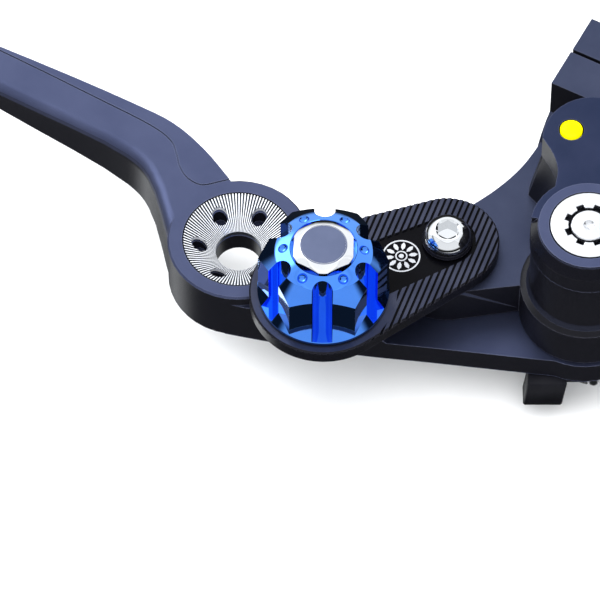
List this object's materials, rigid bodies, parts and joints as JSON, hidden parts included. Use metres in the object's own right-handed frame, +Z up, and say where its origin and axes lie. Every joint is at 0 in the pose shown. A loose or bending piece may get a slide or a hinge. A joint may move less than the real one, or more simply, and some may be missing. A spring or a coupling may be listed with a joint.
{
  "type": "motorcycle clutch lever",
  "caption": "Motorcycle clutch lever on a clamp-on hydraulic perch, with a fluted blue span-adjuster knob on a ribbed plate and a serrated hub.",
  "frame": {"origin": "on the lever's pivot axis, in the lower face of the pivot bolt's head", "axes": "+X along the handlebar towards the middle of the motorcycle (the lever's tip is at -X), +Y towards the handlebar and the rider, +Z up along the pivot axis"},
  "size_m": [0.2356, 0.1082, 0.0554],
  "materials": {
    "black_anodised": "black anodised aluminium, satin",
    "slate_anodised": "slate-blue anodised aluminium, fine satin",
    "blue_anodised": "bright blue anodised aluminium, mirror turned",
    "chrome": "polished",
    "steel": "machined",
    "bronze": "sintered bronze",
    "rubber": "moulded",
    "black_plastic": "moulded, fine grain",
    "yellow_plastic": "gloss"
  },
  "bodies": {
    "perch": {"perch_body": "black_anodised", "pivot_cover": "slate_anodised", "cover_screw": "steel", "yellow_plug": "yellow_plastic", "lock_washer": "black_plastic", "ring_nut": "chrome", "pivot_bolt": "steel", "clamp_cap": "black_anodised", "clamp_bolt_upper": "steel", "clamp_bolt_lower": "steel", "link_plate": "black_anodised", "shaft_bush": "bronze", "cup_washer": "chrome", "dome_screw": "chrome", "inlet_nipple": "black_plastic", "piston_clip": "steel", "return_spring": "steel", "end_plug": "steel", "plug_seal": "bronze", "switch_housing": "black_plastic", "switch_screw": "steel"},
    "lever": {"lever_blade": "slate_anodised", "serrated_ring": "steel", "pivot_bush": "bronze", "striker_pin": "steel"},
    "adjuster": {"adjuster_knob": "blue_anodised", "knob_bolt": "chrome", "adjuster_shaft": "steel", "cam_sleeve": "steel", "detent_ball": "steel", "detent_spring": "steel"},
    "piston_group": {"piston": "steel", "pushrod": "steel", "primary_cup": "rubber", "secondary_cup": "rubber"},
    "plunger": {"switch_plunger": "black_plastic"}
  },
  "joints": [
    {"name": "lever_pull", "type": "hinge", "parent": "perch", "child": "lever", "pos_m": [0, 0, 0.0164], "axis": [0, 0, -1], "range_deg": [0, 16]},
    {"name": "knob_turn", "type": "hinge", "parent": "perch", "child": "adjuster", "pos_m": [-0.0488, -0.0309, 0.0333], "axis": [0, 0, 1], "continuous": true},
    {"name": "piston_slide", "type": "slide", "parent": "perch", "child": "piston_group", "axis": [1, 0, 0], "range_m": [0, 0.0051], "deforming": ["return_spring"]},
    {"name": "plunger_slide", "type": "slide", "parent": "perch", "child": "plunger", "axis": [-0.8829, -0.4695, 0], "range_m": [0, 0.0035]}
  ],
  "couplings": [
    {"joint": "piston_slide", "follows": "lever_pull", "m_per_rad": 0.018},
    {"joint": "plunger_slide", "follows": "lever_pull", "m_per_rad": 0.0123}
  ]
}
